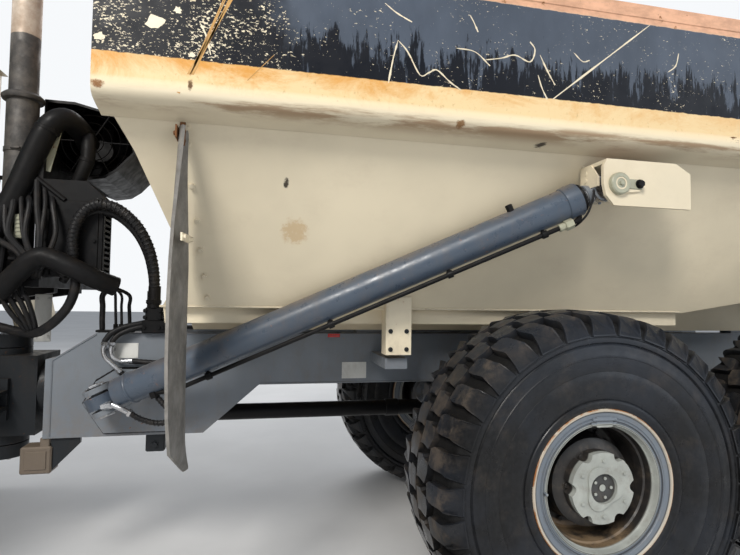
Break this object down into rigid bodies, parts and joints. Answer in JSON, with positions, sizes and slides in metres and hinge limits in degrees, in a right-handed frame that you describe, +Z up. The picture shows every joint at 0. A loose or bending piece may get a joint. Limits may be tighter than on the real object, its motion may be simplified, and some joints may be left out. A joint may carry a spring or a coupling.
{
  "type": "articulated dump truck",
  "caption": "Six-wheel articulated dump truck with a tipping body on two-stage hoist cylinders, hinged and rolling behind the cab, with opening hood and door.",
  "frame": {"origin": "on the ground below the middle of the truck's overall length and width", "axes": "+X forward, +Y to the driver's left, +Z up"},
  "size_m": [10.7, 3.315, 3.63],
  "materials": {
    "tyre": "dusty matt tread rubber",
    "rim_paint": "worn light grey paint",
    "glass": "clear, lightly tinted",
    "bright_steel": "polished rod",
    "cream_paint": "weathered gloss with rust stains",
    "grey_paint": "satin blue-grey paint",
    "flap_rubber": "matt, dusty",
    "cab_trim": "matt",
    "lamp": "clear lens",
    "dark_paint": "satin black"
  },
  "bodies": {
    "tractor": {"front_frame": "grey_paint", "engine_block": "dark_paint", "front_axle": "grey_paint", "fenders": "cream_paint", "bumper": "dark_paint", "cab_shell": "cream_paint", "cab_interior": "cab_trim", "cab_glass": "glass", "headlamps": "lamp", "exhaust_stack": "dark_paint", "rear_deck": "dark_paint", "steps_rails": "dark_paint"},
    "hood": {"hood": "cream_paint", "hood_grille": "dark_paint"},
    "door": {"cab_door": "cream_paint", "door_glass": "glass"},
    "hitch": {"hitch": "grey_paint"},
    "steer_barrel_left": {"steer_barrel_left": "grey_paint"},
    "steer_barrel_right": {"steer_barrel_right": "grey_paint"},
    "steer_rod_left": {"steer_rod_left": "bright_steel"},
    "steer_rod_right": {"steer_rod_right": "bright_steel"},
    "rear_chassis": {"rear_frame": "grey_paint", "bogie_axles": "grey_paint", "driveshafts": "dark_paint"},
    "dump_body": {"dump_body": "cream_paint", "body_guides": "cream_paint", "mud_flaps": "flap_rubber"},
    "hoist_barrel_left": {"hoist_barrel_left": "grey_paint"},
    "hoist_sleeve_left": {"hoist_sleeve_left": "bright_steel"},
    "hoist_rod_left": {"hoist_rod_left": "bright_steel"},
    "hoist_barrel_right": {"hoist_barrel_right": "grey_paint"},
    "hoist_sleeve_right": {"hoist_sleeve_right": "bright_steel"},
    "hoist_rod_right": {"hoist_rod_right": "bright_steel"},
    "wheel_front_left": {"tyre_front_left": "tyre", "wheel_front_left": "rim_paint"},
    "wheel_front_right": {"tyre_front_right": "tyre", "wheel_front_right": "rim_paint"},
    "wheel_mid_left": {"tyre_mid_left": "tyre", "wheel_mid_left": "rim_paint"},
    "wheel_mid_right": {"tyre_mid_right": "tyre", "wheel_mid_right": "rim_paint"},
    "wheel_rear_left": {"tyre_rear_left": "tyre", "wheel_rear_left": "rim_paint"},
    "wheel_rear_right": {"tyre_rear_right": "tyre", "wheel_rear_right": "rim_paint"}
  },
  "joints": [
    {"name": "steer", "type": "hinge", "parent": "tractor", "child": "hitch", "pos_m": [1.65, 0, 1.13], "axis": [0, 0, 1], "range_deg": [-45, 45]},
    {"name": "roll", "type": "hinge", "parent": "hitch", "child": "rear_chassis", "pos_m": [1.11, 0, 1.18], "axis": [1, 0, 0], "range_deg": [-15, 15]},
    {"name": "tip", "type": "hinge", "parent": "rear_chassis", "child": "dump_body", "pos_m": [-4.05, 0, 1.47], "axis": [0, -1, 0], "range_deg": [0, 65]},
    {"name": "hood_open", "type": "hinge", "parent": "tractor", "child": "hood", "pos_m": [5.16, 0, 1.545], "axis": [0, 1, 0], "range_deg": [0, 50]},
    {"name": "door_open", "type": "hinge", "parent": "tractor", "child": "door", "pos_m": [2.456, 0.816, 2.7], "axis": [0, 0, 1], "range_deg": [0, 62]},
    {"name": "hoist_swing_left", "type": "hinge", "parent": "rear_chassis", "child": "hoist_barrel_left", "pos_m": [0.87, 0.7, 1.205], "axis": [0.4552, 0.6166, 0.6423], "range_deg": [-0.5, 8.68]},
    {"name": "hoist_stage_left", "type": "slide", "parent": "hoist_barrel_left", "child": "hoist_sleeve_left", "axis": [-0.8851, 0.2351, 0.4016], "range_m": [-0.001, 1.29406]},
    {"name": "hoist_stroke_left", "type": "slide", "parent": "hoist_sleeve_left", "child": "hoist_rod_left", "axis": [-0.8851, 0.2351, 0.4016], "range_m": [-0.001, 1.29406]},
    {"name": "steer_swing_left", "type": "hinge", "parent": "tractor", "child": "steer_barrel_left", "pos_m": [2.55, 0.3, 1.13], "axis": [0, 0, 1], "range_deg": [-3, 3]},
    {"name": "steer_stroke_left", "type": "slide", "parent": "steer_barrel_left", "child": "steer_rod_left", "axis": [-1, 0, 0], "range_m": [-0.21879, 0.21879]},
    {"name": "hoist_swing_right", "type": "hinge", "parent": "rear_chassis", "child": "hoist_barrel_right", "pos_m": [0.87, -0.7, 1.205], "axis": [-0.4552, 0.6166, -0.6423], "range_deg": [-0.5, 8.68]},
    {"name": "hoist_stage_right", "type": "slide", "parent": "hoist_barrel_right", "child": "hoist_sleeve_right", "axis": [-0.8851, -0.2351, 0.4016], "range_m": [-0.001, 1.29406]},
    {"name": "hoist_stroke_right", "type": "slide", "parent": "hoist_sleeve_right", "child": "hoist_rod_right", "axis": [-0.8851, -0.2351, 0.4016], "range_m": [-0.001, 1.29406]},
    {"name": "steer_swing_right", "type": "hinge", "parent": "tractor", "child": "steer_barrel_right", "pos_m": [2.55, -0.3, 1.13], "axis": [0, 0, 1], "range_deg": [-3, 3]},
    {"name": "steer_stroke_right", "type": "slide", "parent": "steer_barrel_right", "child": "steer_rod_right", "axis": [-1, 0, 0], "range_m": [-0.21879, 0.21879]},
    {"name": "wheel_front_left", "type": "hinge", "parent": "tractor", "child": "wheel_front_left", "pos_m": [2.95, 1.29, 0.875], "axis": [0, 1, 0], "continuous": true},
    {"name": "wheel_front_right", "type": "hinge", "parent": "tractor", "child": "wheel_front_right", "pos_m": [2.95, -1.29, 0.875], "axis": [0, 1, 0], "continuous": true},
    {"name": "wheel_mid_left", "type": "hinge", "parent": "rear_chassis", "child": "wheel_mid_left", "pos_m": [-1.65, 1.29, 0.875], "axis": [0, 1, 0], "continuous": true},
    {"name": "wheel_mid_right", "type": "hinge", "parent": "rear_chassis", "child": "wheel_mid_right", "pos_m": [-1.65, -1.29, 0.875], "axis": [0, 1, 0], "continuous": true},
    {"name": "wheel_rear_left", "type": "hinge", "parent": "rear_chassis", "child": "wheel_rear_left", "pos_m": [-3.6, 1.29, 0.875], "axis": [0, 1, 0], "continuous": true},
    {"name": "wheel_rear_right", "type": "hinge", "parent": "rear_chassis", "child": "wheel_rear_right", "pos_m": [-3.6, -1.29, 0.875], "axis": [0, 1, 0], "continuous": true}
  ],
  "couplings": [
    {"joint": "hoist_swing_left", "follows": "tip", "ratio": 0.12579},
    {"joint": "hoist_stage_left", "follows": "tip", "m_per_rad": 1.1398},
    {"joint": "hoist_stroke_left", "follows": "tip", "m_per_rad": 1.1398},
    {"joint": "steer_swing_left", "follows": "steer", "ratio": 0.001417},
    {"joint": "steer_stroke_left", "follows": "steer", "m_per_rad": 0.27144},
    {"joint": "hoist_swing_right", "follows": "tip", "ratio": 0.12579},
    {"joint": "hoist_stage_right", "follows": "tip", "m_per_rad": 1.1398},
    {"joint": "hoist_stroke_right", "follows": "tip", "m_per_rad": 1.1398},
    {"joint": "steer_swing_right", "follows": "steer", "ratio": 0.001417},
    {"joint": "steer_stroke_right", "follows": "steer", "m_per_rad": -0.27144}
  ]
}
